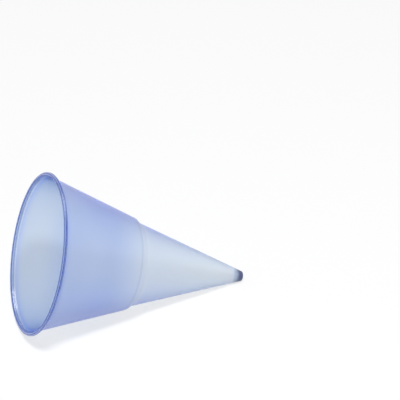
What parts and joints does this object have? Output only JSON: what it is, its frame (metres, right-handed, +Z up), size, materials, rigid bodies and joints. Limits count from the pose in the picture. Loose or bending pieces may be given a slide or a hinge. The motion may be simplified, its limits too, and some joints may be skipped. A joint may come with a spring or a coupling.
{
  "type": "cone cup",
  "caption": "Small cone-shaped plastic drinking cup with a rolled rim, a nesting step and a blunt tip, lying on its side.",
  "frame": {"origin": "on the floor, under the middle of the lying cup's box", "axes": "+Z up; the cup lies with its axis in the XZ plane, its mouth towards -X and its tip towards +X; its axis rises towards the mouth at 19.03 degrees"},
  "size_m": [0.1058, 0.072, 0.0681],
  "materials": {
    "blue_plastic": "frosted translucent pale blue, soft gloss, bluer where the wall is thicker"
  },
  "bodies": {
    "root": {"cup": "blue_plastic"}
  },
  "joints": []
}
